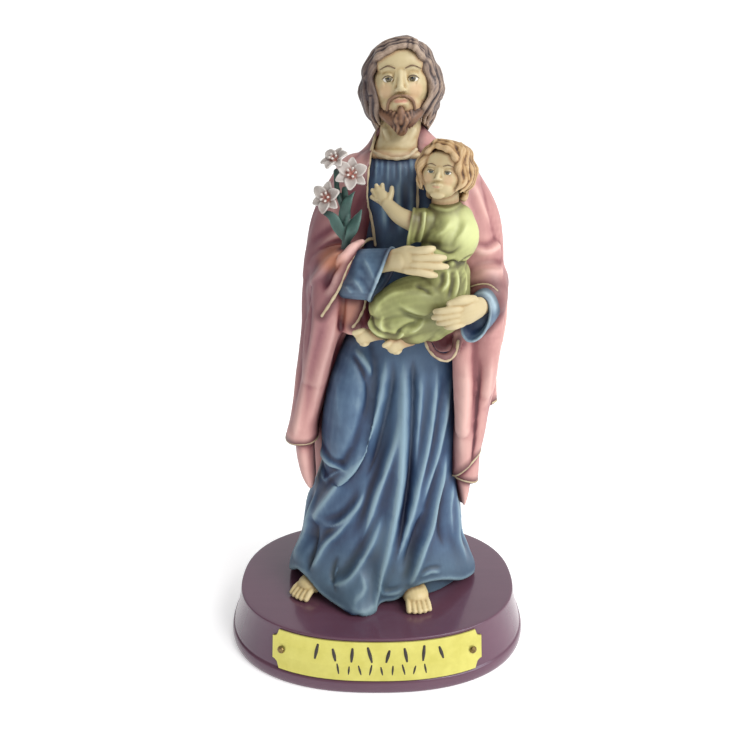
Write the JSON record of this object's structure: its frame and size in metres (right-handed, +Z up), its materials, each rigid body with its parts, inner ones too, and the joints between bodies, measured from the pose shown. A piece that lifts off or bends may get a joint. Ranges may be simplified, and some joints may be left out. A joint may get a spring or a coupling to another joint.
{
  "type": "painted saint joseph statue",
  "caption": "Painted cast statue of a standing bearded saint in blue robe and rose mantle, holding a child and a lily branch, on an oval lacquered wooden plinth with a brass plate",
  "frame": {"origin": "middle of the plinth's underside", "axes": "+Z up, figure faces -Y, +X to the viewer's right"},
  "size_m": [0.1066, 0.0868, 0.2017],
  "materials": {
    "painted_resin": "cast resin, hand painted in satin colours with dark washes and dry-brushed edges",
    "lacquered_wood": "dark mahogany high-gloss lacquer",
    "brass_plate": "satin yellow brass sheet with dark pressed strokes",
    "pin_brass": "dull tarnished nail heads"
  },
  "bodies": {
    "root": {"figure": "painted_resin", "base": "lacquered_wood", "nameplate": "brass_plate", "pin_left": "pin_brass", "pin_right": "pin_brass"}
  },
  "joints": []
}
